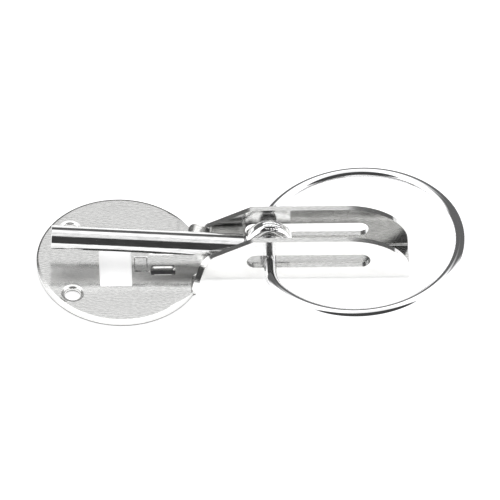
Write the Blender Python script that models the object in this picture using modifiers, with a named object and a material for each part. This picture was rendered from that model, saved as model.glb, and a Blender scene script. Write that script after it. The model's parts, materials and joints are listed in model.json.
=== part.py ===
"""Pocket tool: a pierced disc drawn out into a slotted channel, a half-round bar, its saddle and a wire ring.

The origin is on the channel's underside, below the ring's hinge axis. +X runs from the disc to the
channel's open end, +Z is up. Units are metres.
"""
import math

import bmesh
import bpy
from mathutils import Matrix, Vector

MM = 0.001
RUNNING_GAP = 0.3 * MM

# Sheet blank: a flat disc whose neck folds up into a channel.
SHEET = 0.8 * MM
DISC_RADIUS = 11.625 * MM
NECK_HALF_WIDTH = 5.9 * MM
FOLD_LENGTH = 3.0 * MM
RAMP_START = 0.5 * MM
RAMP_LENGTH = 7.7 * MM
CHANNEL_WIDTH = 6.8 * MM
CHANNEL_HEIGHT = 7.9 * MM
CHANNEL_LENGTH = 30.2 * MM
BEND_INNER_RADIUS = 0.3 * MM
WALL_END_LENGTH = 8.9 * MM
WALL_END_HEIGHT = 1.3 * MM

# Openings of the sheet.
WINDOW_LENGTH = 4.5 * MM
WINDOW_WIDTH = 9.7 * MM
WINDOW_SHIFT = -0.7 * MM
PIN_HOLE_RADIUS = 1.125 * MM
PIN_HOLE_INSET = 2.52 * MM
PIN_HOLE_ANGLE = math.radians(41.7)
LANCE_LENGTH = 3.4 * MM
LANCE_WIDTH = 0.55 * MM
LANCE_INSET = 4.12 * MM
LANCE_Y = 2.5 * MM
SLOT_START = 7.4 * MM
SLOT_END_MARGIN = 5.6 * MM
SLOT_CLEARANCE = 0.35 * MM

# Wire ring: a circle with one flattened side, which is the hinge.
WIRE_RADIUS = 0.875 * MM
RING_RADIUS = 14.06 * MM
FLAT_DEPTH = 1.53 * MM
FLAT_BLEND_RADIUS = 6.3 * MM
AXIS_X = 10.6 * MM
AXIS_HEIGHT = 3.97 * MM
RING_SHIFT = -1.1 * MM
RING_ROLL = math.radians(-3.0)
RING_LIFT = math.radians(-4.5)

# Half-round bar, with an eye on the wire.
BAR_SIDE_PLAY = 0.7 * MM
BAR_WALL = 0.4 * MM
BAR_END_MARGIN = 1.94 * MM
BAR_NEAR_GAP = 0.4 * MM
BAR_DROP = 0.57 * MM
BAR_SHIFT = -0.47 * MM
BAR_YAW = math.radians(-2.6)
BAR_PITCH = math.radians(1.9)
BAR_END_WEB = 0.6 * MM
TONGUE_THICKNESS = 0.75 * MM
EYE_WALL = 0.42 * MM
EYE_SIDE_GAP = 0.4 * MM

# Saddle: a thin arched roof astride the wire, between the walls and a little proud of their top.
SADDLE_LENGTH = 6.2 * MM
SADDLE_WIDTH = 2.7 * MM
SADDLE_SHEET = 0.35 * MM
SADDLE_CORNER = 1.1 * MM
SADDLE_PROUD = 0.3 * MM
SADDLE_END_RISE = 1.88 * MM
SADDLE_SKIRT = 0.95 * MM
SADDLE_CROWN = 0.9 * MM

# Stations along the sheet, measured from the disc's centre.
NECK_X = math.sqrt(DISC_RADIUS**2 - NECK_HALF_WIDTH**2)
CHANNEL_END_X = NECK_X + CHANNEL_LENGTH

DISC_CENTRE = Vector((-NECK_X - AXIS_X, 0.0, 0.0))
HINGE = Vector((0.0, 0.0, AXIS_HEIGHT))
BEND_OUTER_RADIUS = BEND_INNER_RADIUS + SHEET
BEND_LENGTH = (BEND_INNER_RADIUS + SHEET / 2) * math.pi / 2
WEB_HALF_WIDTH = CHANNEL_WIDTH / 2 - BEND_OUTER_RADIUS
INNER_HALF_WIDTH = CHANNEL_WIDTH / 2 - SHEET
SLOT_LENGTH = CHANNEL_LENGTH - SLOT_START - SLOT_END_MARGIN
BORE_RADIUS = WIRE_RADIUS + RUNNING_GAP
EYE_RADIUS = BORE_RADIUS + EYE_WALL
EYE_WIDTH = SADDLE_WIDTH - 2 * (SADDLE_SHEET + EYE_SIDE_GAP)
SADDLE_PEAK_RISE = CHANNEL_HEIGHT + SADDLE_PROUD - AXIS_HEIGHT
BAR_RADIUS = INNER_HALF_WIDTH - BAR_SIDE_PLAY
BAR_NEAR_END = SADDLE_LENGTH / 2 + BAR_NEAR_GAP
BAR_REACH = AXIS_X + NECK_X + DISC_RADIUS - BAR_END_MARGIN


def clear_scene():
    for item in list(bpy.data.objects):
        bpy.data.objects.remove(item, do_unlink=True)


def make_collection(name):
    collection = bpy.data.collections.new(name)
    bpy.context.scene.collection.children.link(collection)
    return collection


def make_material(name, color, roughness):
    material = bpy.data.materials.new(name)
    material.use_nodes = True
    shader = material.node_tree.nodes["Principled BSDF"]
    shader.inputs["Base Color"].default_value = (*color, 1.0)
    shader.inputs["Metallic"].default_value = 1.0
    shader.inputs["Roughness"].default_value = roughness
    return material


def object_from_bmesh(name, bm, collection, smooth_angle=None):
    mesh = bpy.data.meshes.new(name)
    bm.to_mesh(mesh)
    bm.free()
    if smooth_angle is not None:
        mesh.shade_smooth()
        mesh.set_sharp_from_angle(angle=math.radians(smooth_angle))
    item = bpy.data.objects.new(name, mesh)
    collection.objects.link(item)
    return item


def boolean(target, name, bm, operation, location=(0, 0, 0), rotation=(0, 0, 0)):
    """Join or cut target with a tool placed in target's own coordinates."""
    tool = object_from_bmesh(name, bm, cutters)
    tool.parent = target
    tool.location = location
    tool.rotation_euler = rotation
    tool.hide_render = True
    tool.display_type = "WIRE"
    modifier = target.modifiers.new(name, "BOOLEAN")
    modifier.operation = operation
    modifier.solver = "EXACT"
    modifier.object = tool


def box_bmesh(size_x, size_y, size_z):
    bm = bmesh.new()
    bmesh.ops.create_cube(bm, size=1.0)
    bmesh.ops.scale(bm, vec=(size_x, size_y, size_z), verts=bm.verts)
    return bm


def cylinder_bmesh(radius, depth, segments=48):
    bm = bmesh.new()
    bmesh.ops.create_cone(
        bm, cap_ends=True, segments=segments, radius1=radius, radius2=radius, depth=depth
    )
    return bm


def stadium_bmesh(length, width, depth, arc_steps=16):
    """A slug with round ends, long in X, cut through along Y."""
    radius = width / 2
    reach = length / 2 - radius
    bm = bmesh.new()
    outline = []
    for side, start in ((1, -math.pi / 2), (-1, math.pi / 2)):
        for step in range(arc_steps + 1):
            angle = start + math.pi * step / arc_steps
            point = (side * reach + radius * math.cos(angle), -depth / 2, radius * math.sin(angle))
            outline.append(bm.verts.new(point))
    face = bm.faces.new(outline)
    walls = bmesh.ops.extrude_face_region(bm, geom=[face])
    moved = [item for item in walls["geom"] if isinstance(item, bmesh.types.BMVert)]
    bmesh.ops.translate(bm, vec=(0, depth, 0), verts=moved)
    bmesh.ops.recalc_face_normals(bm, faces=bm.faces)
    return bm


def fold_angle(x):
    """The flanges turn up quickly at the disc's edge and ease into the upright walls."""
    progress = min(max((x - NECK_X) / FOLD_LENGTH, 0.0), 1.0)
    return math.pi / 2 * (1 - (1 - progress) ** 3)


def wall_height(x):
    """Height of the folded wall's top edge over the base at station x."""
    neck_height = NECK_HALF_WIDTH - WEB_HALF_WIDTH - BEND_LENGTH + BEND_OUTER_RADIUS
    ramp = min(max((x - NECK_X - RAMP_START) / RAMP_LENGTH, 0.0), 1.0)
    height = neck_height + (CHANNEL_HEIGHT - neck_height) * ramp
    along = (x - CHANNEL_END_X + WALL_END_LENGTH) / WALL_END_LENGTH
    if along > 0:
        fall = math.sqrt(max(1 - along * along, 0.0))
        height = WALL_END_HEIGHT + (CHANNEL_HEIGHT - WALL_END_HEIGHT) * fall
    return height


def blank_half_width(x):
    """Half of the flat blank's width at station x, measured along its mid surface."""
    if x <= NECK_X:
        return math.sqrt(DISC_RADIUS**2 - x**2)
    return WEB_HALF_WIDTH + BEND_LENGTH + wall_height(x) - BEND_OUTER_RADIUS


def section(x, bend_steps=4):
    """Mid-surface points of half a cross-section at x, with the unit normals of its upper side."""
    width = blank_half_width(x)
    angle = fold_angle(x)
    shrink = min(1.0, width / (WEB_HALF_WIDTH + BEND_LENGTH + SHEET / 2))
    lengths = [0.0] + [WEB_HALF_WIDTH + BEND_LENGTH * step / bend_steps for step in range(bend_steps + 1)]
    lengths = [length * shrink for length in lengths] + [width]
    points = []
    for length in lengths:
        bent = min(max(length - WEB_HALF_WIDTH, 0.0), BEND_LENGTH)
        turn = angle * bent / BEND_LENGTH
        flat = min(length, WEB_HALF_WIDTH)
        beyond = max(length - WEB_HALF_WIDTH - BEND_LENGTH, 0.0)
        if angle > 1e-4:
            radius = BEND_LENGTH / angle
            y, z = radius * math.sin(turn), radius * (1 - math.cos(turn))
        else:
            y, z = bent, 0.0
        y += flat + beyond * math.cos(turn)
        z += SHEET / 2 + beyond * math.sin(turn)
        points.append(((y, z), (-math.sin(turn), math.cos(turn))))
    return points


def stations(disc_steps=32, fold_steps=10, ramp_steps=4, end_steps=14):
    """X positions of the cross-sections, from the disc's far edge to the channel's open end."""
    first, last = math.radians(3), math.pi - math.asin(NECK_HALF_WIDTH / DISC_RADIUS)
    disc = [-DISC_RADIUS * math.cos(first + (last - first) * s / disc_steps) for s in range(disc_steps + 1)]
    fold = [NECK_X + FOLD_LENGTH * ((s + 1) / fold_steps) ** 2 for s in range(fold_steps)]
    ramp_end = NECK_X + RAMP_START + RAMP_LENGTH
    ramp = [fold[-1] + (ramp_end - fold[-1]) * (s + 1) / ramp_steps for s in range(ramp_steps)]
    end_start = CHANNEL_END_X - WALL_END_LENGTH
    end = [end_start + WALL_END_LENGTH * math.sin(math.pi / 2 * s / end_steps) for s in range(end_steps + 1)]
    return disc + fold + ramp + end


def folded_sheet():
    bm = bmesh.new()
    loops = []
    for x in stations():
        half = section(x)
        both = [((-y, z), (-ny, nz)) for (y, z), (ny, nz) in reversed(half[1:])] + half
        upper = [(y + ny * SHEET / 2, z + nz * SHEET / 2) for (y, z), (ny, nz) in both]
        lower = [(y - ny * SHEET / 2, z - nz * SHEET / 2) for (y, z), (ny, nz) in reversed(both)]
        loops.append([bm.verts.new((x, y, z)) for y, z in upper + lower])
    count = len(loops[0])
    for near, far in zip(loops, loops[1:]):
        for i in range(count):
            j = (i + 1) % count
            bm.faces.new((near[i], near[j], far[j], far[i]))
    for end in (loops[0], loops[-1]):
        for i in range(count // 2 - 1):
            bm.faces.new((end[i], end[i + 1], end[count - 2 - i], end[count - 1 - i]))
    bmesh.ops.triangulate(bm, faces=bm.faces)
    bmesh.ops.recalc_face_normals(bm, faces=bm.faces)
    return bm


def build_body(material):
    body = object_from_bmesh("disc_and_channel", folded_sheet(), parts, smooth_angle=35)
    body.data.materials.append(material)
    through = 4 * SHEET
    window = box_bmesh(WINDOW_LENGTH, WINDOW_WIDTH, through)
    boolean(body, "window cutter", window, "DIFFERENCE", (WINDOW_SHIFT, 0, 0))
    pin_reach = DISC_RADIUS - PIN_HOLE_INSET
    pin_x, pin_y = -pin_reach * math.cos(PIN_HOLE_ANGLE), pin_reach * math.sin(PIN_HOLE_ANGLE)
    for side in (-1, 1):
        hole = cylinder_bmesh(PIN_HOLE_RADIUS, through)
        boolean(body, "pin hole cutter", hole, "DIFFERENCE", (pin_x, side * pin_y, 0))
        lance = box_bmesh(LANCE_LENGTH, LANCE_WIDTH, through)
        boolean(body, "lance cutter", lance, "DIFFERENCE", (NECK_X - LANCE_INSET, side * LANCE_Y, 0))
    slot_width = 2 * (WIRE_RADIUS + SLOT_CLEARANCE)
    slot = stadium_bmesh(SLOT_LENGTH, slot_width, 2 * CHANNEL_WIDTH)
    slot_centre = (NECK_X + SLOT_START + SLOT_LENGTH / 2, 0, AXIS_HEIGHT)
    boolean(body, "wire slot cutter", slot, "DIFFERENCE", slot_centre)
    body.location = DISC_CENTRE


def curved_shell(name, length, length_steps, profile, profile_steps, thickness, rise):
    """A roof that is open below: profile(v) in Y and Z is carried along X, lifted by rise(u)."""
    bm = bmesh.new()
    bmesh.ops.create_grid(bm, x_segments=length_steps, y_segments=profile_steps, size=0.5)
    for vert in bm.verts:
        y, z, share = profile(vert.co.y + 0.5)
        u = vert.co.x
        vert.co = (u * length, y, z + share * rise(u * 2))
    shell = object_from_bmesh(name, bm, parts, smooth_angle=40)
    solid = shell.modifiers.new("sheet thickness", "SOLIDIFY")
    solid.thickness = thickness
    solid.offset = -1
    solid.use_even_offset = True
    return shell


def build_bar(material):
    """The bar's own origin is on the wire's axis, and it reaches out along -X."""
    def half_round(v):
        angle = math.pi * (1 - v)
        return BAR_RADIUS * math.cos(angle), BAR_RADIUS * math.sin(angle), 0.0

    length = BAR_REACH - BAR_NEAR_END
    bar = curved_shell("half_round_bar", length, 12, half_round, 20, BAR_WALL, lambda u: 0.0)
    bar.data.materials.append(material)
    centre_x = -(BAR_REACH + BAR_NEAR_END) / 2
    bar.data.transform(Matrix.Translation((centre_x, BAR_SHIFT, -BAR_DROP)))

    plug = cylinder_bmesh(BAR_RADIUS - BAR_WALL / 2, BAR_END_WEB)
    bmesh.ops.bisect_plane(
        plug, geom=plug.verts[:] + plug.edges[:] + plug.faces[:], plane_co=(0, 0, 0), plane_no=(-1, 0, 0),
        clear_outer=True,
    )
    bmesh.ops.holes_fill(plug, edges=[edge for edge in plug.edges if edge.is_boundary])
    bmesh.ops.rotate(plug, matrix=Matrix.Rotation(-math.pi / 2, 3, "Y"), verts=plug.verts)
    plug_x = -BAR_NEAR_END - BAR_END_WEB / 2
    bmesh.ops.translate(plug, vec=(plug_x, BAR_SHIFT, -BAR_DROP), verts=plug.verts)
    tongue_length = BAR_NEAR_END + BAR_END_WEB / 2
    tongue = box_bmesh(tongue_length, EYE_WIDTH, TONGUE_THICKNESS)
    bmesh.ops.translate(tongue, vec=(-tongue_length / 2, 0, TONGUE_THICKNESS / 2), verts=tongue.verts)
    eye = cylinder_bmesh(EYE_RADIUS, EYE_WIDTH)
    bore = cylinder_bmesh(BORE_RADIUS, 2 * EYE_WIDTH)
    for piece in (eye, bore):
        bmesh.ops.rotate(piece, matrix=Matrix.Rotation(math.pi / 2, 3, "X"), verts=piece.verts)
    for name, shape, operation in (
        ("bar end web", plug, "UNION"),
        ("bar tongue", tongue, "UNION"),
        ("bar eye", eye, "UNION"),
        ("bar eye bore", bore, "DIFFERENCE"),
    ):
        boolean(bar, name, shape, operation)
    bar.location = HINGE
    bar.rotation_euler = (0, BAR_PITCH, BAR_YAW)


def build_saddle(material):
    """The saddle's own origin is on the wire's axis."""
    flank = SADDLE_END_RISE + SADDLE_SKIRT - SADDLE_CORNER
    arc = SADDLE_CORNER * math.pi / 2
    flat = SADDLE_WIDTH / 2 - SADDLE_CORNER
    half = flank + arc + flat

    def roof(v):
        along = abs(v - 0.5) * 2 * half
        side = -1 if v < 0.5 else 1
        turn = min(max(along - flat, 0.0), arc) / SADDLE_CORNER
        y = min(along, flat) + SADDLE_CORNER * math.sin(turn)
        down = SADDLE_CORNER * (1 - math.cos(turn)) + max(along - flat - arc, 0.0)
        share = 1 - down / (flank + SADDLE_CORNER)
        return side * y, SADDLE_END_RISE - down, share

    def hump(u):
        return (SADDLE_PEAK_RISE - SADDLE_END_RISE) * (1 - u * u)

    saddle = curved_shell("hinge_saddle", SADDLE_LENGTH, 16, roof, 28, SADDLE_SHEET, hump)
    saddle.data.materials.append(material)
    notch_top = SADDLE_PEAK_RISE - SADDLE_CROWN
    notch_height = notch_top + 2 * SADDLE_SKIRT
    notch = stadium_bmesh(notch_height, 2 * BORE_RADIUS, 2 * SADDLE_WIDTH)
    notch_centre = (0, 0, notch_top - notch_height / 2)
    boolean(saddle, "saddle notch cutter", notch, "DIFFERENCE", notch_centre, (0, math.pi / 2, 0))
    saddle.location = HINGE


def ring_points(circle_steps=72, blend_steps=10):
    """Centre line of the wire: a circle whose -X side is flat, with the flat on the Y axis."""
    flat_x = FLAT_DEPTH - RING_RADIUS
    blend_x = flat_x + FLAT_BLEND_RADIUS
    blend_y = math.sqrt((RING_RADIUS - FLAT_BLEND_RADIUS) ** 2 - blend_x**2)
    join = math.atan2(blend_y, blend_x)
    upper = []
    for step in range(circle_steps // 2 + 1):
        angle = join * step / (circle_steps // 2)
        upper.append((RING_RADIUS * math.cos(angle), RING_RADIUS * math.sin(angle)))
    for step in range(1, blend_steps + 1):
        angle = join + (math.pi - join) * step / blend_steps
        upper.append((blend_x + FLAT_BLEND_RADIUS * math.cos(angle), blend_y + FLAT_BLEND_RADIUS * math.sin(angle)))
    lower = [(x, -y) for x, y in reversed(upper[1:])]
    return [Vector((x - flat_x, y, 0)) for x, y in upper + lower]


def build_ring(material):
    curve = bpy.data.curves.new("key_ring", "CURVE")
    curve.dimensions = "3D"
    curve.bevel_depth = WIRE_RADIUS
    curve.bevel_resolution = 3
    points = ring_points()
    spline = curve.splines.new("POLY")
    spline.points.add(len(points) - 1)
    for point, place in zip(spline.points, points):
        point.co = (*place, 1.0)
    spline.use_cyclic_u = True
    spline.use_smooth = True
    curve.materials.append(material)
    ring = bpy.data.objects.new("key_ring", curve)
    parts.objects.link(ring)
    ring.rotation_mode = "YXZ"
    ring.location = HINGE + Vector((0, RING_SHIFT, 0))
    ring.rotation_euler = (RING_ROLL, RING_LIFT, 0)


clear_scene()
parts = make_collection("pocket tool")
cutters = make_collection("cutters")
build_body(make_material("plated sheet", (0.80, 0.80, 0.79), 0.22))
build_saddle(make_material("saddle plate", (0.78, 0.78, 0.78), 0.18))
build_bar(make_material("bar plate", (0.78, 0.78, 0.79), 0.12))
build_ring(make_material("ring wire", (0.78, 0.79, 0.80), 0.07))
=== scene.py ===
# %% [markdown]
# # A pocket tool of folded sheet metal
# One stamped blank makes the pierced disc and the slotted channel. A wire ring passes through the
# channel's two slots, a half-round bar hangs on that wire, and a small saddle rides over its end.
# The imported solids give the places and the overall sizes. The pieces below are finer copies of
# them, with rolled edges, knurling and plated finishes.

# %% Load the frame
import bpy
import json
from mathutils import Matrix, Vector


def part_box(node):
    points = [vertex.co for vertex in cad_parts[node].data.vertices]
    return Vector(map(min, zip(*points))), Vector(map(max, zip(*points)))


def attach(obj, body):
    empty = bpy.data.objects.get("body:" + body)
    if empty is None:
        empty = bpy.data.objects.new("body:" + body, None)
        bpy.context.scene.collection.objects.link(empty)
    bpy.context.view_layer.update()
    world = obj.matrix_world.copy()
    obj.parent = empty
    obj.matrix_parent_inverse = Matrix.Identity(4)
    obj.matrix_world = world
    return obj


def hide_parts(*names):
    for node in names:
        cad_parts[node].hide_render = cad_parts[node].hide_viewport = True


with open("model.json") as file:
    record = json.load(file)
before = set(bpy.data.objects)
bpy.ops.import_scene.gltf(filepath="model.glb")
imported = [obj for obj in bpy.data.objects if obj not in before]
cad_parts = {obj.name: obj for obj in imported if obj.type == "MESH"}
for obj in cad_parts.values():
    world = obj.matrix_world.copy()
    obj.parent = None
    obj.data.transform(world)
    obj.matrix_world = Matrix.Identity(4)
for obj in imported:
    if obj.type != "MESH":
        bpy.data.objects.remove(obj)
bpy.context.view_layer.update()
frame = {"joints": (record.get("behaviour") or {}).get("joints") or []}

import json
import math

import bmesh
import bpy
from mathutils import Matrix, Vector

# %% [markdown]
# ## Sizes
# Metres are awkward to read for something this small, so a millimetre is named once. The sheet, the
# wire and the hinge axis are the sizes that several pieces share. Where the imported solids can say
# a size, it is read from them instead.

# %% Shared sizes
MM = 0.001
SHEET = 0.8 * MM
WIRE_RADIUS = 0.875 * MM
hinge = next(joint for joint in frame["joints"] if joint["name"] == "bar_tilt")["pos_m"]
HINGE = Vector(hinge)

body_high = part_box("disc_and_channel")[1]
CHANNEL_END_X = body_high.x
CHANNEL_HEIGHT = body_high.z
DISC_RADIUS = body_high.y
NECK_HALF_WIDTH = 5.9 * MM
NECK_X = math.sqrt(DISC_RADIUS**2 - NECK_HALF_WIDTH**2)
AXIS_X = 10.6 * MM
DISC_X = -NECK_X - AXIS_X
print("disc radius", round(DISC_RADIUS / MM, 3), "disc centre x", round(DISC_X / MM, 3))

# %% [markdown]
# ## Small helpers
# Every piece below is a mesh built from points. These helpers turn a bmesh into an object, give it
# a material and shade it, so that the cells that follow hold only the shape. Bevels are modifiers
# here because they follow every outline on their own; cutting them by hand would take far more code.

# %% Mesh helpers
CRISP_ANGLE = math.radians(40)
ROLLED_ANGLE = math.radians(50)


def mesh_object(name, bm, material):
    mesh = bpy.data.meshes.new(name)
    bm.to_mesh(mesh)
    bm.free()
    mesh.materials.append(material)
    mesh.shade_smooth()
    mesh.set_sharp_from_angle(angle=CRISP_ANGLE)
    piece = bpy.data.objects.new(name, mesh)
    bpy.context.scene.collection.objects.link(piece)
    return piece


def apply_modifiers(piece):
    """Bake the modifiers into the mesh, so that later steps see the finished shape."""
    graph = bpy.context.evaluated_depsgraph_get()
    baked = bpy.data.meshes.new_from_object(piece.evaluated_get(graph))
    piece.modifiers.clear()
    piece.data = baked


def thicken(piece, thickness, offset):
    solid = piece.modifiers.new("thickness", "SOLIDIFY")
    solid.thickness = thickness
    solid.offset = offset
    solid.use_even_offset = True


def roll_edges(piece, width, segments=3):
    bevel = piece.modifiers.new("rolled edges", "BEVEL")
    bevel.width = width
    bevel.segments = segments
    bevel.limit_method = "ANGLE"
    bevel.angle_limit = ROLLED_ANGLE
    bevel.harden_normals = True
    steady = piece.modifiers.new("flat faces stay flat", "WEIGHTED_NORMAL")
    steady.keep_sharp = True


def smooth(low, high, value):
    """A soft step from 0 at low to 1 at high."""
    t = min(max((value - low) / (high - low), 0.0), 1.0)
    return t * t * (3 - 2 * t)


def finish_piece(piece, body, node):
    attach(piece, body)
    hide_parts(node)
    print(piece.name, len(piece.data.polygons), "faces, rides on", body)


print("folds above", round(math.degrees(ROLLED_ANGLE)), "degrees get a rolled edge")

# %% [markdown]
# ## Bright plating
# Nickel plate on stamped steel is nearly a mirror, but a handled one. It has cloudy patches where the
# plate is duller, and fine streaks along the rolled sheet. A plain metal shader would look like
# computer chrome, so noise varies its roughness, its tone and its bump.

# %% Noise and range nodes
def noise(nodes, links, place, stretch, size, detail=4.0, roughness=0.5):
    """Noise whose blobs are about size across, and stretch times as long along X."""
    scale = nodes.new("ShaderNodeMapping")
    scale.inputs["Scale"].default_value = (1 / stretch, 1.0, 1.0)
    links.new(place, scale.inputs["Vector"])
    texture = nodes.new("ShaderNodeTexNoise")
    texture.inputs["Scale"].default_value = 1 / size
    texture.inputs["Detail"].default_value = detail
    texture.inputs["Roughness"].default_value = roughness
    links.new(scale.outputs["Vector"], texture.inputs["Vector"])
    return texture.outputs["Fac"]


def spread(nodes, links, value, low, high, start=0.35, stop=0.65):
    node = nodes.new("ShaderNodeMapRange")
    for name, number in (("From Min", start), ("From Max", stop), ("To Min", low), ("To Max", high)):
        node.inputs[name].default_value = number
    links.new(value, node.inputs["Value"])
    return node.outputs["Result"]


print("helpers:", noise.__name__, spread.__name__)

# %% [markdown]
# ## One recipe for every plate
# Every piece is plated in the same bath, so one recipe with different numbers serves them all. Clouds
# set the roughness. Clouds and streaks together set the tone, and the streaks alone set the bump.
# Near the table a part's foot is painted darker, by height above the table, as painted contact shade.

# %% The plate recipe
FOOT_START, FOOT_STOP = 0.12 * MM, 0.26 * MM


def multiply(nodes, links, first, second):
    node = nodes.new("ShaderNodeMath")
    node.operation = "MULTIPLY"
    links.new(first, node.inputs[0])
    links.new(second, node.inputs[1])
    return node.outputs[0]


def plated_metal(name, color, roughness, cloud_size, streak_size, streak_length, streak_dark,
                 bump_height, foot_shade_tone=1.0):
    """Bright plate. A foot_shade_tone below 1 darkens the lowest quarter of a millimetre, as painted
    contact shade.
    """
    material = bpy.data.materials.new(name)
    material.use_nodes = True
    nodes, links = material.node_tree.nodes, material.node_tree.links
    shader = nodes["Principled BSDF"]
    shader.inputs["Metallic"].default_value = 1.0
    place = nodes.new("ShaderNodeTexCoord").outputs["Object"]
    clouds = noise(nodes, links, place, 2.0, cloud_size, detail=6.0, roughness=0.6)
    streaks = noise(nodes, links, place, streak_length, streak_size, detail=3.0, roughness=0.6)

    links.new(spread(nodes, links, clouds, *roughness), shader.inputs["Roughness"])
    cloud_tone = spread(nodes, links, clouds, 1 - streak_dark / 2, 1.0)
    streak_tone = spread(nodes, links, streaks, 1 - streak_dark, 1.0, start=0.3, stop=0.6)
    tone = multiply(nodes, links, cloud_tone, streak_tone)
    level = nodes.new("ShaderNodeSeparateXYZ")
    links.new(place, level.inputs[0])
    # Painted contact shade: the base colour darkens towards the table.
    foot = spread(nodes, links, level.outputs["Z"], foot_shade_tone, 1.0, FOOT_START, FOOT_STOP)
    tone_with_foot_shade = multiply(nodes, links, tone, foot)
    paint = nodes.new("ShaderNodeMix")
    paint.data_type = "RGBA"
    paint.inputs[6].default_value = (0, 0, 0, 1)
    paint.inputs[7].default_value = (*color, 1)
    links.new(tone_with_foot_shade, paint.inputs[0])
    links.new(paint.outputs[2], shader.inputs["Base Color"])

    bump = nodes.new("ShaderNodeBump")
    bump.inputs["Distance"].default_value = bump_height
    links.new(streaks, bump.inputs["Height"])
    links.new(bump.outputs["Normal"], shader.inputs["Normal"])
    return material


# The feet are painted darker below this height, as painted contact shade.
print("feet are dulled below", round(FOOT_STOP / MM, 2), "mm")

# %% [markdown]
# ## The finishes
# Outside, the sheet is the dullest because it was rolled, stamped and folded, and the ring is the
# brightest because drawn wire polishes well. The bar's inside never met the polishing wheel, so it is
# duller still. The slits' inner faces get a dark finish, which is painted shade, so that they read as
# dark lines.

# %% The finishes
# The sheet's foot is painted darker near the table, as painted contact shade.
sheet_plate = plated_metal(
    "sheet_plate", color=(0.92, 0.92, 0.91), roughness=(0.1, 0.2), cloud_size=2 * MM,
    streak_size=0.2 * MM, streak_length=3.0, streak_dark=0.18, bump_height=0.006 * MM, foot_shade_tone=0.35,
)
# Painted shade: a dark finish for the slits' inner faces, standing in for the shade inside them.
slit_painted_shade = plated_metal(
    "slit_painted_shade", color=(0.22, 0.22, 0.22), roughness=(0.4, 0.6), cloud_size=1 * MM,
    streak_size=0.2 * MM, streak_length=2.0, streak_dark=0.3, bump_height=0.002 * MM,
)
bar_inside = plated_metal(
    "bar_inside", color=(0.9, 0.9, 0.9), roughness=(0.45, 0.6), cloud_size=2 * MM,
    streak_size=0.2 * MM, streak_length=4.0, streak_dark=0.1, bump_height=0.002 * MM,
)
bar_plate = plated_metal(
    "bar_plate", color=(0.92, 0.92, 0.92), roughness=(0.05, 0.1), cloud_size=2 * MM,
    streak_size=0.16 * MM, streak_length=9.0, streak_dark=0.3, bump_height=0.004 * MM,
)
saddle_plate = plated_metal(
    "saddle_plate", color=(0.92, 0.92, 0.92), roughness=(0.04, 0.1), cloud_size=2 * MM,
    streak_size=0.25 * MM, streak_length=3.0, streak_dark=0.05, bump_height=0,
)
ring_wire = plated_metal(
    "ring_wire", color=(0.92, 0.92, 0.93), roughness=(0.04, 0.08), cloud_size=3 * MM,
    streak_size=0.4 * MM, streak_length=1.0, streak_dark=0.04, bump_height=0,
)
# The dark finish in the slits is painted shade.
print("five plated finishes and the grime in the slits")

# %% [markdown]
# ## The blank and how it folds
# The real part starts as a flat blank, stamped with all its holes, and is then bent. The same order
# works well here. The outline and the holes are drawn flat, and one function bends any point
# of the flat sheet to its place on the folded part.

# %% The folded sheet
FOLD_LENGTH = 3.0 * MM
RAMP_START = 0.5 * MM
RAMP_LENGTH = 7.7 * MM
CHANNEL_WIDTH = 6.8 * MM
BEND_RADIUS = 1.1 * MM
WALL_END_LENGTH = 8.9 * MM
WALL_END_HEIGHT = 1.3 * MM
END_X = CHANNEL_END_X - DISC_X
BEND_LENGTH = (BEND_RADIUS - SHEET / 2) * math.pi / 2
WEB_HALF = CHANNEL_WIDTH / 2 - BEND_RADIUS
WALL_FOOT = WEB_HALF + BEND_LENGTH


def wall_height(x):
    neck = NECK_HALF_WIDTH - WALL_FOOT + BEND_RADIUS
    ramp = min(max((x - NECK_X - RAMP_START) / RAMP_LENGTH, 0.0), 1.0)
    height = neck + (CHANNEL_HEIGHT - neck) * ramp
    along = (x - END_X + WALL_END_LENGTH) / WALL_END_LENGTH
    if along > 0:
        rise = (CHANNEL_HEIGHT - WALL_END_HEIGHT) * math.sqrt(max(1 - along**2, 0.0))
        height = WALL_END_HEIGHT + rise
    return height


def half_width(x):
    """Half of the flat blank's width at x, measured from the disc's centre."""
    if x <= NECK_X:
        return math.sqrt(max(DISC_RADIUS**2 - x**2, 0.0))
    return WALL_FOOT + wall_height(x) - BEND_RADIUS


def fold(x, across):
    """Where a point of the flat blank's mid surface lies once the flanges are bent up."""
    progress = min(max((x - NECK_X) / FOLD_LENGTH, 0.0), 1.0)
    angle = math.pi / 2 * (1 - (1 - progress) ** 3)
    side, length = (1 if across >= 0 else -1), abs(across)
    bent = min(max(length - WEB_HALF, 0.0), BEND_LENGTH)
    turn = angle * bent / BEND_LENGTH
    y, z = bent, 0.0
    if angle > 1e-4:
        radius = BEND_LENGTH / angle
        y, z = radius * math.sin(turn), radius * (1 - math.cos(turn))
    beyond = max(length - WALL_FOOT, 0.0)
    y += min(length, WEB_HALF) + beyond * math.cos(turn)
    z += SHEET / 2 + beyond * math.sin(turn)
    return Vector((DISC_X + x, side * y, z))


print("from the disc's centre: neck", round(NECK_X / MM, 2), "open end", round(END_X / MM, 2), "mm")

# %% [markdown]
# ## Outline and holes
# Each loop is a short list of corners or an arc. The window's corners are slightly rounded because
# a punch has rounded corners too. The long slots lie in the flanges, so their place across
# the blank is measured from the foot of the wall.

# %% Draw the flat blank
def arc(cx, cy, radius, start, stop, steps):
    return [
        (cx + radius * math.cos(start + (stop - start) * s / steps),
         cy + radius * math.sin(start + (stop - start) * s / steps))
        for s in range(steps + 1)
    ]


def circle(cx, cy, radius, steps=48):
    return arc(cx, cy, radius, 0, 2 * math.pi, steps)[:-1]


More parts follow.
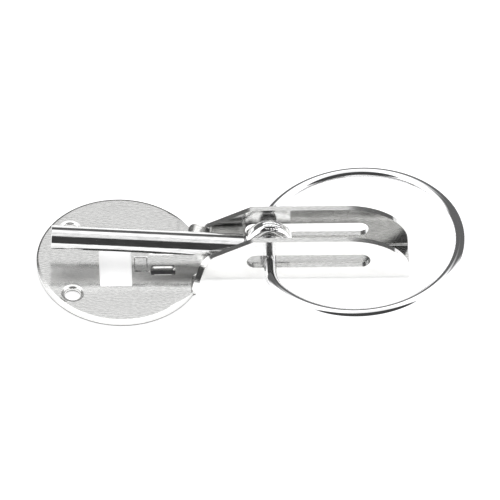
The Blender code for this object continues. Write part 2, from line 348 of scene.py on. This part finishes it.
def rounded_box(cx, cy, length, width, radius, steps=6):
    loop = []
    for quarter, (sx, sy) in enumerate(((1, 1), (-1, 1), (-1, -1), (1, -1))):
        corner_x = cx + sx * (length / 2 - radius)
        corner_y = cy + sy * (width / 2 - radius)
        start = quarter * math.pi / 2
        loop += arc(corner_x, corner_y, radius, start, start + math.pi / 2, steps)
    return loop


def blank_outline(disc_steps=120, fold_steps=14, ramp_steps=4, end_steps=28):
    stop = math.pi - math.asin(NECK_HALF_WIDTH / DISC_RADIUS)
    xs = [-DISC_RADIUS * math.cos(stop * s / disc_steps) for s in range(disc_steps + 1)]
    xs += [NECK_X + FOLD_LENGTH * ((s + 1) / fold_steps) ** 2 for s in range(fold_steps)]
    ramp_end, last = NECK_X + RAMP_START + RAMP_LENGTH, xs[-1]
    xs += [last + (ramp_end - last) * (s + 1) / ramp_steps for s in range(ramp_steps)]
    end_angles = [math.pi / 2 * s / end_steps for s in range(end_steps + 1)]
    xs += [END_X - WALL_END_LENGTH * (1 - math.sin(angle)) for angle in end_angles]
    upper = [(x, half_width(x)) for x in xs]
    return upper + [(x, -y) for x, y in reversed(upper[1:])]


WINDOW_X, WINDOW = -0.7 * MM, (4.5 * MM, 9.7 * MM)
PIN_HOLE_RADIUS = 1.125 * MM
pin_reach, pin_angle = DISC_RADIUS - 2.52 * MM, math.radians(41.7)
pin_hole = (-pin_reach * math.cos(pin_angle), pin_reach * math.sin(pin_angle))
LOUVRE_X, LOUVRE_Y = NECK_X - 4.12 * MM, 2.5 * MM
LOUVRE = (3.4 * MM, 0.55 * MM)
WINDOW_CORNER, LOUVRE_CORNER = 0.2 * MM, 0.12 * MM
SLOT_START, SLOT_END_MARGIN = 7.4 * MM, 5.6 * MM
SLOT_RADIUS = WIRE_RADIUS + 0.35 * MM
slot_length = END_X - NECK_X - SLOT_START - SLOT_END_MARGIN
slot_across = WALL_FOOT + HINGE.z - BEND_RADIUS
slot_x = NECK_X + SLOT_START + slot_length / 2

holes = [rounded_box(WINDOW_X, 0, *WINDOW, WINDOW_CORNER)]
for side in (-1, 1):
    holes.append(rounded_box(LOUVRE_X, side * LOUVRE_Y, *LOUVRE, LOUVRE_CORNER))
    slot = (slot_x, side * slot_across, slot_length, 2 * SLOT_RADIUS)
    holes.append(rounded_box(*slot, 0.999 * SLOT_RADIUS, steps=12))
print(len(holes), "plain holes; pin holes at", [round(value / MM, 2) for value in pin_hole])

# %% [markdown]
# ## Fill the blank
# A face with holes can be filled from its edge loops alone. Three places need more than a plain
# edge, so each gets a band of nested loops: the disc's drawn rim, the dimple round each pin
# hole, and the shallow stamped rectangle beside the window.

# %% Bands of nested loops
RIM_WIDTH = 0.55 * MM
RIM_NARROWING, RIM_NARROWS, RIM_FADE = 0.6, (-6 * MM, 2 * MM), 3 * MM
DIMPLE = 0.5 * MM
STAMP = (WINDOW_X + WINDOW[0] / 2 + 1.3 * MM, -0.75 * MM, 2.0 * MM, 2.9 * MM)
STAMP_DEPTH = 0.05 * MM
STAMP_SLOPE = 0.1 * MM
STAMP_CORNERS = (0.3 * MM, 0.2 * MM)
NARROWEST_RIM = 0.15 * MM
rim_shares = (1.0, 1.5)
dimple_shares = (0.35, 0.55, 0.75, 1.0, 1.3)


def add_loop(bm, points):
    return [bm.verts.new((x, y, 0)) for x, y in points]


def add_band(bm, outer, inner):
    """Fill between two loops of the same length, which may share some of their points."""
    for i in range(len(outer)):
        j = (i + 1) % len(outer)
        corners = [outer[i], outer[j], inner[j], inner[i]]
        corners = [vert for k, vert in enumerate(corners) if vert is not corners[k - 1]]
        if len(corners) > 2:
            bm.faces.new(corners)


def rim_width(x, y):
    """The drawn rim is narrower on the +Y side, and fades out where the disc runs into the neck."""
    width = RIM_WIDTH * (1 - RIM_NARROWING * smooth(*RIM_NARROWS, y))
    return width * (1 - smooth(NECK_X - RIM_FADE, NECK_X, x))


def flat_blank():
    bm = bmesh.new()
    outline = blank_outline()
    edge_loops = []
    loop = add_loop(bm, outline)
    for share in rim_shares:
        inner = []
        for vert, (x, y) in zip(loop, outline):
            width = rim_width(x, y) * share if x < NECK_X else 0.0
            if width < NARROWEST_RIM:
                inner.append(vert)
                continue
            scale = 1 - width / DISC_RADIUS
            inner.append(bm.verts.new((x * scale, y * scale, 0)))
        add_band(bm, loop, inner)
        loop = inner
    edge_loops.append(loop)
    for side in (-1, 1):
        centre = (pin_hole[0], side * pin_hole[1])
        loop = add_loop(bm, circle(*centre, PIN_HOLE_RADIUS))
        for share in dimple_shares:
            outer = add_loop(bm, circle(*centre, PIN_HOLE_RADIUS + DIMPLE * share))
            add_band(bm, outer, loop)
            loop = outer
        edge_loops.append(loop)
    stamp_out = add_loop(bm, rounded_box(*STAMP, STAMP_CORNERS[0]))
    stamp_sides = [side - 2 * STAMP_SLOPE for side in STAMP[2:]]
    stamp_in = add_loop(bm, rounded_box(*STAMP[:2], *stamp_sides, STAMP_CORNERS[1]))
    add_band(bm, stamp_out, stamp_in)
    bm.faces.new(stamp_in)
    edge_loops.append(stamp_out)
    edge_loops += [add_loop(bm, points) for points in holes]
    fill = []
    for verts in edge_loops:
        for a, b in zip(verts, verts[1:] + verts[:1]):
            fill.append(bm.edges.get((a, b)) or bm.edges.new((a, b)))
    bmesh.ops.triangle_fill(bm, use_beauty=True, edges=fill, normal=(0, 0, 1))
    return bm


blank = flat_blank()
print("blank:", len(blank.verts), "points,", len(blank.faces), "faces")

# %% [markdown]
# ## Bend it
# The flat face has to be cut into strips before it bends, or the bend would be one hard crease.
# Planes slice it along the bend lines and, where the neck twists, across them. A few more lines
# let the louvres beside the window rise. Then every point is moved by the fold function.

# %% Slice and fold
LOUVRE_RISE = 0.32 * MM
LOUVRE_DEEP = 1.25 * MM
LOUVRE_END_INSIDE, LOUVRE_END_OUTSIDE, LIP_MARGIN = 0.5 * MM, 0.02 * MM, 0.01 * MM
BEND_STEPS, NECK_STEPS, LOUVRE_STEPS = 8, 16, 6
neck_lines = (4.0 * MM, 4.6 * MM, 5.2 * MM)
louvre_insets = (-0.3 * MM, 0.15 * MM, 0.25 * MM, 0.35 * MM, 0.45 * MM, 0.6 * MM)


def cut_blank(bm, place, normal):
    everything = bm.verts[:] + bm.edges[:] + bm.faces[:]
    bmesh.ops.bisect_plane(bm, geom=everything, dist=1e-9, plane_co=place, plane_no=normal)


def slice_across(bm, x):
    cut_blank(bm, (x, 0, 0), (1, 0, 0))


def slice_along(bm, y):
    """Cut along X on both sides, at -y and at +y."""
    for side in (-1, 1):
        cut_blank(bm, (0, side * y, 0), (0, 1, 0))


def stamped_height(x, y):
    """The louvres rise towards their slits, and the stamped rectangle lies a little low."""
    lip = LOUVRE_Y - LOUVRE[1] / 2
    near = smooth(lip - LOUVRE_DEEP, lip, abs(y)) if abs(y) < lip + LIP_MARGIN else 0.0
    half = LOUVRE[0] / 2
    along = 1 - smooth(half - LOUVRE_END_INSIDE, half + LOUVRE_END_OUTSIDE, abs(x - LOUVRE_X))
    height = LOUVRE_RISE * near * along
    off_centre = (abs(x - STAMP[0]), abs(y - STAMP[1]))
    if all(off < side / 2 - 0.9 * STAMP_SLOPE for off, side in zip(off_centre, STAMP[2:])):
        height -= STAMP_DEPTH
    return height


for step in range(BEND_STEPS + 1):
    slice_along(blank, WEB_HALF + BEND_LENGTH * step / BEND_STEPS)
slice_across(blank, NECK_X - 0.15 * MM)
for step in range(NECK_STEPS + 1):
    slice_across(blank, NECK_X + FOLD_LENGTH * (step / NECK_STEPS) ** 2)
for line in neck_lines:
    slice_along(blank, line)
for step in range(1, LOUVRE_STEPS + 2):
    slice_along(blank, LOUVRE_Y - LOUVRE[1] / 2 - LOUVRE_DEEP * step / LOUVRE_STEPS)
for inset in louvre_insets:
    for side in (-1, 1):
        slice_across(blank, LOUVRE_X + side * (LOUVRE[0] / 2 - inset))
for vert in blank.verts:
    x, y = vert.co.x, vert.co.y
    vert.co = fold(x, y)
    vert.co.z += stamped_height(x, y)
bmesh.ops.recalc_face_normals(blank, faces=blank.faces)
if sum(face.normal.z for face in blank.faces) < 0:
    bmesh.ops.reverse_faces(blank, faces=blank.faces)
sheet = mesh_object("folded_sheet", blank, sheet_plate)
thicken(sheet, SHEET, 0)
apply_modifiers(sheet)
print("folded sheet:", len(sheet.data.polygons), "faces")

# %% [markdown]
# ## Draw the rim, sink the dimples
# A punched disc has one soft edge, where the metal is drawn down before it shears, and one square
# edge. The upper skin slopes down to the rim, and is rolled in round the pin holes, while
# the underside stays flat. It is done by moving points, because a bevel would treat both skins alike.

# %% Shape the upper skin
DIMPLE_DEPTH = 0.22 * MM
RIM_DROP = 0.11 * MM


def quarter_drop(share):
    return 1 - math.sqrt(max(1 - share * share, 0.0))


def upper_skin_drop(x, y):
    reach = math.hypot(x, y)
    width = rim_width(x, y)
    if width > 0 and reach > DISC_RADIUS - width:
        return RIM_DROP * (reach - DISC_RADIUS + width) / RIM_WIDTH
    from_hole = math.hypot(x - pin_hole[0], abs(y) - pin_hole[1]) - PIN_HOLE_RADIUS
    if from_hole < DIMPLE:
        return DIMPLE_DEPTH * quarter_drop(1 - from_hole / DIMPLE)
    return 0.0


for vert in sheet.data.vertices:
    x, y = vert.co.x - DISC_X, vert.co.y
    if x < NECK_X and vert.co.z > 0.6 * SHEET:
        vert.co.z -= upper_skin_drop(x, y)
print("rim drawn down", round(RIM_DROP / MM, 2), "mm, dimples", round(DIMPLE_DEPTH / MM, 2), "mm")

# %% [markdown]
# ## Painted shade in the slits, and crisp lines
# The slits' inner faces take a dark second material, which is painted shade. Where the flat skin meets
# the drawn rim the change of slope is small, so smooth shading would bend the flat's reflections over a
# wide area. Marking that line as sharp keeps the flat looking flat.

# %% Finish the sheet
SHEET_EDGE = 0.13 * MM
UPRIGHT = 0.3
SLIT_REACH = (0.51 * LOUVRE[0], 0.6 * LOUVRE[1])
FLAT_ENOUGH = 0.99999
STEEPEST_SLOPE, GENTLEST_SLOPE = 0.8, 0.9998


def inside_slit(face):
    x, y = face.center.x - DISC_X - LOUVRE_X, abs(face.center.y) - LOUVRE_Y
    return abs(face.normal.z) < UPRIGHT and abs(x) < SLIT_REACH[0] and abs(y) < SLIT_REACH[1]


def mark_crisp_lines(mesh):
    tilts = {}
    for face in mesh.polygons:
        for key in face.edge_keys:
            tilts.setdefault(key, []).append(face.normal.z)
    marked = 0
    for edge in mesh.edges:
        low, high = min(tilts[edge.key]), max(tilts[edge.key])
        on_disc = mesh.vertices[edge.vertices[0]].co.x < DISC_X + NECK_X
        if on_disc and high > FLAT_ENOUGH and STEEPEST_SLOPE < low < GENTLEST_SLOPE:
            edge.use_edge_sharp = True
            marked += 1
    return marked


# The slits' inner faces get the dark finish of painted shade.
sheet.data.materials.append(slit_painted_shade)
for face in sheet.data.polygons:
    if inside_slit(face):
        face.material_index = 1
print(mark_crisp_lines(sheet.data), "edges kept crisp where the flat meets a drawn edge")
roll_edges(sheet, SHEET_EDGE)
apply_modifiers(sheet)
finish_piece(sheet, "frame", "disc_and_channel")

# %% [markdown]
# ## The ring
# The ring is one loop of round wire with a flattened side, which is the hinge. A curve object
# with a bevel would do, but a swept mesh keeps its facets even, and it takes the same plated
# finish by object coordinates.

# %% Sweep the wire
RING_RADIUS = 14.06 * MM
FLAT_DEPTH = 1.53 * MM
BLEND_RADIUS = 6.3 * MM


def ring_centre_line(circle_steps=160, blend_steps=32):
    flat_x = FLAT_DEPTH - RING_RADIUS
    blend_x = flat_x + BLEND_RADIUS
    blend_y = math.sqrt((RING_RADIUS - BLEND_RADIUS) ** 2 - blend_x**2)
    join = math.atan2(blend_y, blend_x)
    upper = arc(0, 0, RING_RADIUS, 0, join, circle_steps // 2)
    upper += arc(blend_x, blend_y, BLEND_RADIUS, join, math.pi, blend_steps)[1:]
    lower = [(x, -y) for x, y in reversed(upper[1:])]
    return [Vector((x - flat_x, y, 0)) for x, y in upper + lower]


def sweep_wire(points, radius, sides=32):
    bm = bmesh.new()
    count = len(points)
    rings = []
    for i, point in enumerate(points):
        tangent = (points[(i + 1) % count] - points[i - 1]).normalized()
        out = Vector((tangent.y, -tangent.x, 0))
        rings.append([
            bm.verts.new(point + radius * (math.cos(a) * out + Vector((0, 0, math.sin(a)))))
            for a in (2 * math.pi * s / sides for s in range(sides))
        ])
    for i, near in enumerate(rings):
        far = rings[(i + 1) % count]
        for s in range(sides):
            t = (s + 1) % sides
            bm.faces.new((near[s], far[s], far[t], near[t]))
    bmesh.ops.recalc_face_normals(bm, faces=bm.faces)
    return bm


print("ring centre line:", len(ring_centre_line()), "points")

# %% [markdown]
# ## How the ring lies
# The ring isn't level: its far end and one of its sides stand a little high. So it is turned about
# two axes and moved sideways along the hinge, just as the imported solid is.

# %% Lean the ring as it lies
RING_ROLL, RING_LIFT, RING_SHIFT = math.radians(-3.0), math.radians(-4.5), -1.1 * MM
wire = sweep_wire(ring_centre_line(), WIRE_RADIUS)
wire.transform(
    Matrix.Translation(HINGE + Vector((0, RING_SHIFT, 0)))
    @ Matrix.Rotation(RING_ROLL, 4, "X") @ Matrix.Rotation(RING_LIFT, 4, "Y")
)
ring = mesh_object("wire_ring", wire, ring_wire)
finish_piece(ring, "ring", "key_ring")

# %% [markdown]
# ## The bar
# The bar is a strip bent to a half round and left open underneath. A flat grid is bent over a half
# circle and given its thickness inward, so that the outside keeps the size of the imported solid. The
# thickness modifier puts the inner skin on the bar's second material.

# %% The half-round bar
BAR_RADIUS, BAR_WALL = 1.9 * MM, 0.4 * MM
BAR_END_MARGIN = 1.94 * MM
BAR_REACH = AXIS_X + NECK_X + DISC_RADIUS - BAR_END_MARGIN
BAR_DROP, BAR_SHIFT = 0.57 * MM, -0.47 * MM
BAR_YAW, BAR_PITCH = math.radians(-2.6), math.radians(1.9)
SADDLE_LENGTH, SADDLE_WIDTH, SADDLE_SHEET = 6.2 * MM, 2.7 * MM, 0.35 * MM
BAR_END_GAP, BAR_EDGE = 0.4 * MM, 0.08 * MM
BAR_NEAR_END = SADDLE_LENGTH / 2 + BAR_END_GAP
bar_place = (
    Matrix.Translation(HINGE) @ Matrix.Rotation(BAR_YAW, 4, "Z") @ Matrix.Rotation(BAR_PITCH, 4, "Y")
)


def half_tube(length_steps=24, round_steps=48):
    bm = bmesh.new()
    bmesh.ops.create_grid(bm, x_segments=length_steps, y_segments=round_steps, size=0.5)
    for vert in bm.verts:
        angle = math.pi * (0.5 - vert.co.y)
        x = -BAR_NEAR_END - (BAR_REACH - BAR_NEAR_END) * (0.5 - vert.co.x)
        vert.co = (x, BAR_SHIFT + BAR_RADIUS * math.cos(angle), BAR_RADIUS * math.sin(angle) - BAR_DROP)
    return bm


bar = mesh_object("half_round_tube", half_tube(), bar_plate)
bar.data.materials.append(bar_inside)
thicken(bar, BAR_WALL, -1)
bar.modifiers["thickness"].material_offset = 1
roll_edges(bar, BAR_EDGE)
apply_modifiers(bar)
bar.data.transform(bar_place)
finish_piece(bar, "bar", "half_round_bar")

# %% [markdown]
# ## The bar's eye
# A narrow tongue runs on from the bar and is rolled round the wire, like the knuckle of a hinge. Its
# outline is the same all the way across, so it is drawn once from the side and pushed through.

# %% The eye on the wire
BORE_RADIUS = WIRE_RADIUS + 0.3 * MM
EYE_WALL, EYE_SIDE_GAP = 0.42 * MM, 0.4 * MM
EYE_WIDTH = SADDLE_WIDTH - 2 * (SADDLE_SHEET + EYE_SIDE_GAP)
TONGUE, TONGUE_OVERLAP, EYE_EDGE = 0.75 * MM, 0.3 * MM, 0.06 * MM


def eye_and_tongue(steps=64):
    """A strip rolled round the wire: the outline is drawn in X and Z and pushed along Y."""
    outer = BORE_RADIUS + EYE_WALL
    tip = -BAR_NEAR_END - TONGUE_OVERLAP
    start = math.pi - math.asin(TONGUE / outer)
    ring_out = arc(0, 0, outer, start, -math.pi, steps)
    outline = [(tip, 0), (tip, TONGUE)] + ring_out
    hole = arc(0, 0, BORE_RADIUS, 0, 2 * math.pi, 48)[:-1]
    bm = bmesh.new()
    for loop in (outline, hole):
        verts = [bm.verts.new((x, -EYE_WIDTH / 2, z)) for x, z in loop]
        for a, b in zip(verts, verts[1:] + verts[:1]):
            bm.edges.new((a, b))
    bmesh.ops.triangle_fill(bm, use_beauty=True, edges=bm.edges[:], normal=(0, -1, 0))
    pushed = bmesh.ops.extrude_face_region(bm, geom=bm.faces[:])
    moved = [item for item in pushed["geom"] if isinstance(item, bmesh.types.BMVert)]
    bmesh.ops.translate(bm, vec=(0, EYE_WIDTH, 0), verts=moved)
    bmesh.ops.recalc_face_normals(bm, faces=bm.faces)
    return bm


eye = mesh_object("bar_eye", eye_and_tongue(), bar_plate)
roll_edges(eye, EYE_EDGE, segments=2)
apply_modifiers(eye)
eye.data.transform(bar_place)
finish_piece(eye, "bar", "half_round_bar")

# %% [markdown]
# ## The saddle
# The saddle is an arched clip astride the wire, a little proud of the walls, and it is what the thumb
# pushes. It is bent from a blank too. Seen from the side it is a low hump, and its flanks are turned
# down through a wide corner. One function bends the blank, and another runs the bend backwards.

# %% The saddle's bend
SADDLE_CORNER, SADDLE_SKIRT = 1.1 * MM, 0.95 * MM
SADDLE_END_RISE = 1.88 * MM
SADDLE_PROUD = 0.3 * MM
SADDLE_PEAK_RISE = CHANNEL_HEIGHT + SADDLE_PROUD - HINGE.z
SADDLE_DEPTH = SADDLE_END_RISE + SADDLE_SKIRT
SADDLE_ARC = SADDLE_CORNER * math.pi / 2
SADDLE_FLAT = SADDLE_WIDTH / 2 - SADDLE_CORNER
SADDLE_HALF_BLANK = SADDLE_FLAT + SADDLE_ARC + SADDLE_DEPTH - SADDLE_CORNER


def saddle_rise(x):
    return (SADDLE_PEAK_RISE - SADDLE_END_RISE) * (1 - (2 * x / SADDLE_LENGTH) ** 2)


def saddle_bend(x, across):
    """Where a point of the saddle's flat blank lies, measured from the wire's axis."""
    side, along = (1 if across >= 0 else -1), abs(across)
    turn = min(max(along - SADDLE_FLAT, 0.0), SADDLE_ARC) / SADDLE_CORNER
    y = min(along, SADDLE_FLAT) + SADDLE_CORNER * math.sin(turn)
    down = SADDLE_CORNER * (1 - math.cos(turn)) + max(along - SADDLE_FLAT - SADDLE_ARC, 0.0)
    share = 1 - down / SADDLE_DEPTH
    return Vector((x, side * y, SADDLE_END_RISE - down + share * saddle_rise(x)))


def saddle_across(x, z):
    """The bend run backwards: how far across the blank a point of the flank at height z lies."""
    down = SADDLE_DEPTH * (1 - (z + SADDLE_SKIRT) / (SADDLE_DEPTH + saddle_rise(x)))
    return SADDLE_FLAT + SADDLE_ARC + max(down, SADDLE_CORNER) - SADDLE_CORNER


print("saddle crest", round(SADDLE_PEAK_RISE / MM, 2), "mm above the wire's axis")

# %% [markdown]
# ## Arches and ribs
# The two arches for the wire are cut in the flat, at heights that the backward bend turns into places
# on the blank. The ribs are real grooves, pressed in along each point's own outward direction, because
# a bump map would leave the crest's outline smooth.

# %% Cut the saddle's blank
arch = [
    (BORE_RADIUS, 0.2 * MM), (BORE_RADIUS, 1.3 * MM), (1.05 * MM, 1.7 * MM), (0.8 * MM, 2.15 * MM),
    (0.48 * MM, 2.55 * MM), (0.22 * MM, 2.9 * MM), (0.08 * MM, 3.2 * MM),
]
KNURL_PITCH, KNURL_DEPTH = 0.38 * MM, 0.07 * MM
KNURL_X, KNURL_HALF_LENGTH, KNURL_HALF_WIDTH = 0.3 * MM, 1.35 * MM, 1.15 * MM
KNURL_FADE, RIB_SHARE, CROSS_SLANT = 0.85, 0.75, 0.8
RIB_STEPS = 32


def saddle_blank():
    bm = bmesh.new()
    half = SADDLE_LENGTH / 2
    side_cut = [(BORE_RADIUS, SADDLE_HALF_BLANK)]
    side_cut += [(x, saddle_across(x, height)) for x, height in arch]
    upper = [(half, SADDLE_HALF_BLANK)] + side_cut + [(-x, y) for x, y in reversed(side_cut)]
    upper.append((-half, SADDLE_HALF_BLANK))
    outline = upper + [(-x, -y) for x, y in upper]
    verts = add_loop(bm, outline)
    edges = [bm.edges.new((a, b)) for a, b in zip(verts, verts[1:] + verts[:1])]
    bmesh.ops.triangle_fill(bm, use_beauty=True, edges=edges, normal=(0, 0, 1))
    for step in range(-RIB_STEPS, RIB_STEPS + 1):
        slice_across(bm, half * step / RIB_STEPS)
    for side in (-1, 1):
        for step in range(BEND_STEPS + 1):
            cut_blank(bm, (0, side * (SADDLE_FLAT + SADDLE_ARC * step / BEND_STEPS), 0), (0, 1, 0))
    for step in range(-RIB_STEPS, RIB_STEPS + 1):
        cut_blank(bm, (0, KNURL_HALF_WIDTH * step / RIB_STEPS, 0), (0, 1, 0))
        slice_across(bm, KNURL_X + KNURL_HALF_LENGTH * step / RIB_STEPS)
    return bm


def knurl_depth(x, across):
    """Ribs along the saddle, crossed by a second set on the slant, within a rounded patch."""
    out_along, out_across = (x - KNURL_X) / KNURL_HALF_LENGTH, across / KNURL_HALF_WIDTH
    patch = 1 - smooth(KNURL_FADE, 1.0, math.hypot(out_along, out_across))
    rib = 0.5 + 0.5 * math.cos(2 * math.pi * across / KNURL_PITCH)
    cross = 0.5 + 0.5 * math.cos(2 * math.pi * (x + CROSS_SLANT * across) / KNURL_PITCH)
    return KNURL_DEPTH * patch * (RIB_SHARE * rib + (1 - RIB_SHARE) * cross)


print("ribs every", round(KNURL_PITCH / MM, 2), "mm,", round(KNURL_DEPTH / MM, 2), "mm deep")

# %% [markdown]
# ## Bend the saddle
# Each point of the blank is bent to its place and, within the knurled patch, pressed in. The sheet's
# thickness is added inward afterwards, so that the crest keeps its height.

# %% Bend and knurl the saddle
CLIP_EDGE = 0.05 * MM
clip = saddle_blank()
for vert in clip.verts:
    x, across = vert.co.x, vert.co.y
    surface = saddle_bend(x, across)
    turn = min(max(abs(across) - SADDLE_FLAT, 0.0), SADDLE_ARC) / SADDLE_CORNER
    out = Vector((0, math.copysign(math.sin(turn), across), math.cos(turn)))
    vert.co = surface - knurl_depth(x, across) * out
bmesh.ops.recalc_face_normals(clip, faces=clip.faces)
if sum(face.normal.z for face in clip.faces) < 0:
    bmesh.ops.reverse_faces(clip, faces=clip.faces)
saddle = mesh_object("saddle_clip", clip, saddle_plate)
thicken(saddle, SADDLE_SHEET, -1)
apply_modifiers(saddle)
roll_edges(saddle, CLIP_EDGE, segments=2)
apply_modifiers(saddle)
saddle.data.transform(Matrix.Translation(HINGE))
finish_piece(saddle, "saddle", "hinge_saddle")

# %% [markdown]
# ## The floor
# A white floor and a white room give the bright, shadow-free look of a catalogue table. The floor
# glows a little, like the lit base of a light tent, so that the shadows on it wash out.

# %% The floor
FLOOR_GLOW = 0.5
FLOOR_HALF = 3.0
FLOOR_DROP = 0.03 * MM


def white_floor():
    material = bpy.data.materials.new("white_table")
    material.use_nodes = True
    shader = material.node_tree.nodes["Principled BSDF"]
    shader.inputs["Base Color"].default_value = (0.95, 0.95, 0.95, 1)
    shader.inputs["Roughness"].default_value = 0.9
    shader.inputs["Emission Color"].default_value = (1, 1, 1, 1)
    shader.inputs["Emission Strength"].default_value = FLOOR_GLOW
    bm = bmesh.new()
    bmesh.ops.create_grid(bm, x_segments=1, y_segments=1, size=FLOOR_HALF)
    floor = mesh_object("table_top", bm, material)
    floor.location.z = -FLOOR_DROP
    return floor


white_floor()
print("floor", 2 * FLOOR_HALF, "m across")

# %% [markdown]
# ## The camera
# A long lens from far away shows a small object almost without perspective, as a catalogue does. The
# camera's own axes are given as directions, and its lens follows from the width it has to take in.

# %% The camera
VIEW_WIDTH = 69.6 * MM
VIEW_CENTRE = (-2.5056 * MM, 1.8096 * MM)
right = Vector((1.0, -0.0383, 0.0273)).normalized()
toward = Vector((-0.0461, -0.6786, 0.7337)).normalized()
up = toward.cross(right).normalized()
toward = right.cross(up).normalized()
target = right * VIEW_CENTRE[0] + up * VIEW_CENTRE[1]
distance = 2.4
camera_data = bpy.data.cameras.new("camera")
camera_data.sensor_width = 36.0
camera_data.lens = camera_data.sensor_width * distance / VIEW_WIDTH
camera_data.clip_end = 50.0
camera = bpy.data.objects.new("camera", camera_data)
bpy.context.scene.collection.objects.link(camera)
camera.matrix_world = Matrix((
    (right.x, up.x, toward.x, 0),
    (right.y, up.y, toward.y, 0),
    (right.z, up.z, toward.z, 0),
    (0, 0, 0, 1),
))
camera.location = target + toward * distance
bpy.context.scene.camera = camera
print("lens", round(camera_data.lens), "mm, camera", distance, "m away")

# %% [markdown]
# ## The room
# Polished metal shows its surroundings more than itself, and in an all-white room it would vanish. So
# the room has a dark opening in front, a dark band low at the back, and a slightly gray ceiling. Each
# edge between light and dark is soft, as the seams of a light tent are. A world shader does this
# without any object that could show up in a view.

# %% The room's light and dark parts
SKY = 1.5
OPENING_RISE = math.radians(42)
OPENING_SIDE = Vector((0.0, -math.cos(OPENING_RISE), math.sin(OPENING_RISE)))
OPENING_EDGE = [math.cos(math.radians(degrees)) for degrees in (35, 27)]
OPENING_NARROWING = 0.65
OPENING_LIGHT = 0.04
BACK_EDGE, BACK_TOP, BACK_FOOT = (0.25, 0.5), (0.65, 0.8), (0.2, 0.34)
BACK_TOP_TURN, BACK_FOOT_TURN = -0.2, 0.6
BACK_DARK = 0.91
CEILING_EDGE = [math.cos(math.radians(degrees)) for degrees in (20, 12)]
CEILING_LIGHT = 0.7


def math_node(nodes, links, operation, *inputs):
    node = nodes.new("ShaderNodeMath")
    node.operation = operation
    for socket, value in zip(node.inputs, inputs):
        if isinstance(value, bpy.types.NodeSocket):
            links.new(value, socket)
        else:
            socket.default_value = value
    return node.outputs[0]


def soft_range(nodes, links, value, start, stop, low, high):
    node = nodes.new("ShaderNodeMapRange")
    node.interpolation_type = "SMOOTHSTEP"
    for name, number in (("From Min", start), ("From Max", stop), ("To Min", low), ("To Max", high)):
        node.inputs[name].default_value = number
    links.new(value, node.inputs["Value"])
    return node.outputs["Result"]


print("room: opening light", OPENING_LIGHT, "ceiling light", CEILING_LIGHT, "of", SKY)

# %% [markdown]
# ## Hang the room
# Every direction gets a strength between 0 and 1 from each part, and the strengths are multiplied.
# The colour stays white, so every tint comes from the metal alone.

# %% Build the room
def studio_room():
    world = bpy.data.worlds.new("studio")
    bpy.context.scene.world = world
    world.use_nodes = True
    nodes, links = world.node_tree.nodes, world.node_tree.links
    place = nodes.new("ShaderNodeTexCoord").outputs["Generated"]
    narrow = nodes.new("ShaderNodeVectorMath")
    narrow.operation = "MULTIPLY"
    narrow.inputs[1].default_value = (OPENING_NARROWING, 1, 1)
    links.new(place, narrow.inputs[0])
    unit = nodes.new("ShaderNodeVectorMath")
    unit.operation = "NORMALIZE"
    links.new(narrow.outputs[0], unit.inputs[0])
    aim = nodes.new("ShaderNodeVectorMath")
    aim.operation = "DOT_PRODUCT"
    aim.inputs[1].default_value = OPENING_SIDE
    links.new(unit.outputs[0], aim.inputs[0])
    split = nodes.new("ShaderNodeSeparateXYZ")
    links.new(place, split.inputs[0])
    sideways = math_node(nodes, links, "ABSOLUTE", split.outputs["X"])
    height = math_node(nodes, links, "MULTIPLY_ADD", sideways, BACK_TOP_TURN, split.outputs["Z"])
    lift = math_node(nodes, links, "MULTIPLY_ADD", sideways, BACK_FOOT_TURN, split.outputs["Z"])
    front = soft_range(nodes, links, aim.outputs["Value"], *OPENING_EDGE, 1.0, OPENING_LIGHT)
    behind = soft_range(nodes, links, split.outputs["Y"], *BACK_EDGE, 0.0, 1.0)
    low = soft_range(nodes, links, height, *BACK_TOP, 1.0, 0.0)
    above = soft_range(nodes, links, lift, *BACK_FOOT, 0.0, 1.0)
    shade = math_node(nodes, links, "MULTIPLY", math_node(nodes, links, "MULTIPLY", behind, low), above)
    back = math_node(nodes, links, "MULTIPLY_ADD", shade, -BACK_DARK, 1.0)
    ceiling = soft_range(nodes, links, split.outputs["Z"], *CEILING_EDGE, 1.0, CEILING_LIGHT)
    walls = math_node(nodes, links, "MULTIPLY", front, back)
    total = math_node(nodes, links, "MULTIPLY", walls, ceiling)
    strength = math_node(nodes, links, "MULTIPLY", total, SKY)
    nodes["Background"].inputs["Color"].default_value = (1, 1, 1, 1)
    links.new(strength, nodes["Background"].inputs["Strength"])


studio_room()
bpy.context.scene.view_settings.view_transform = "Standard"
print("world:", bpy.context.scene.world.name)
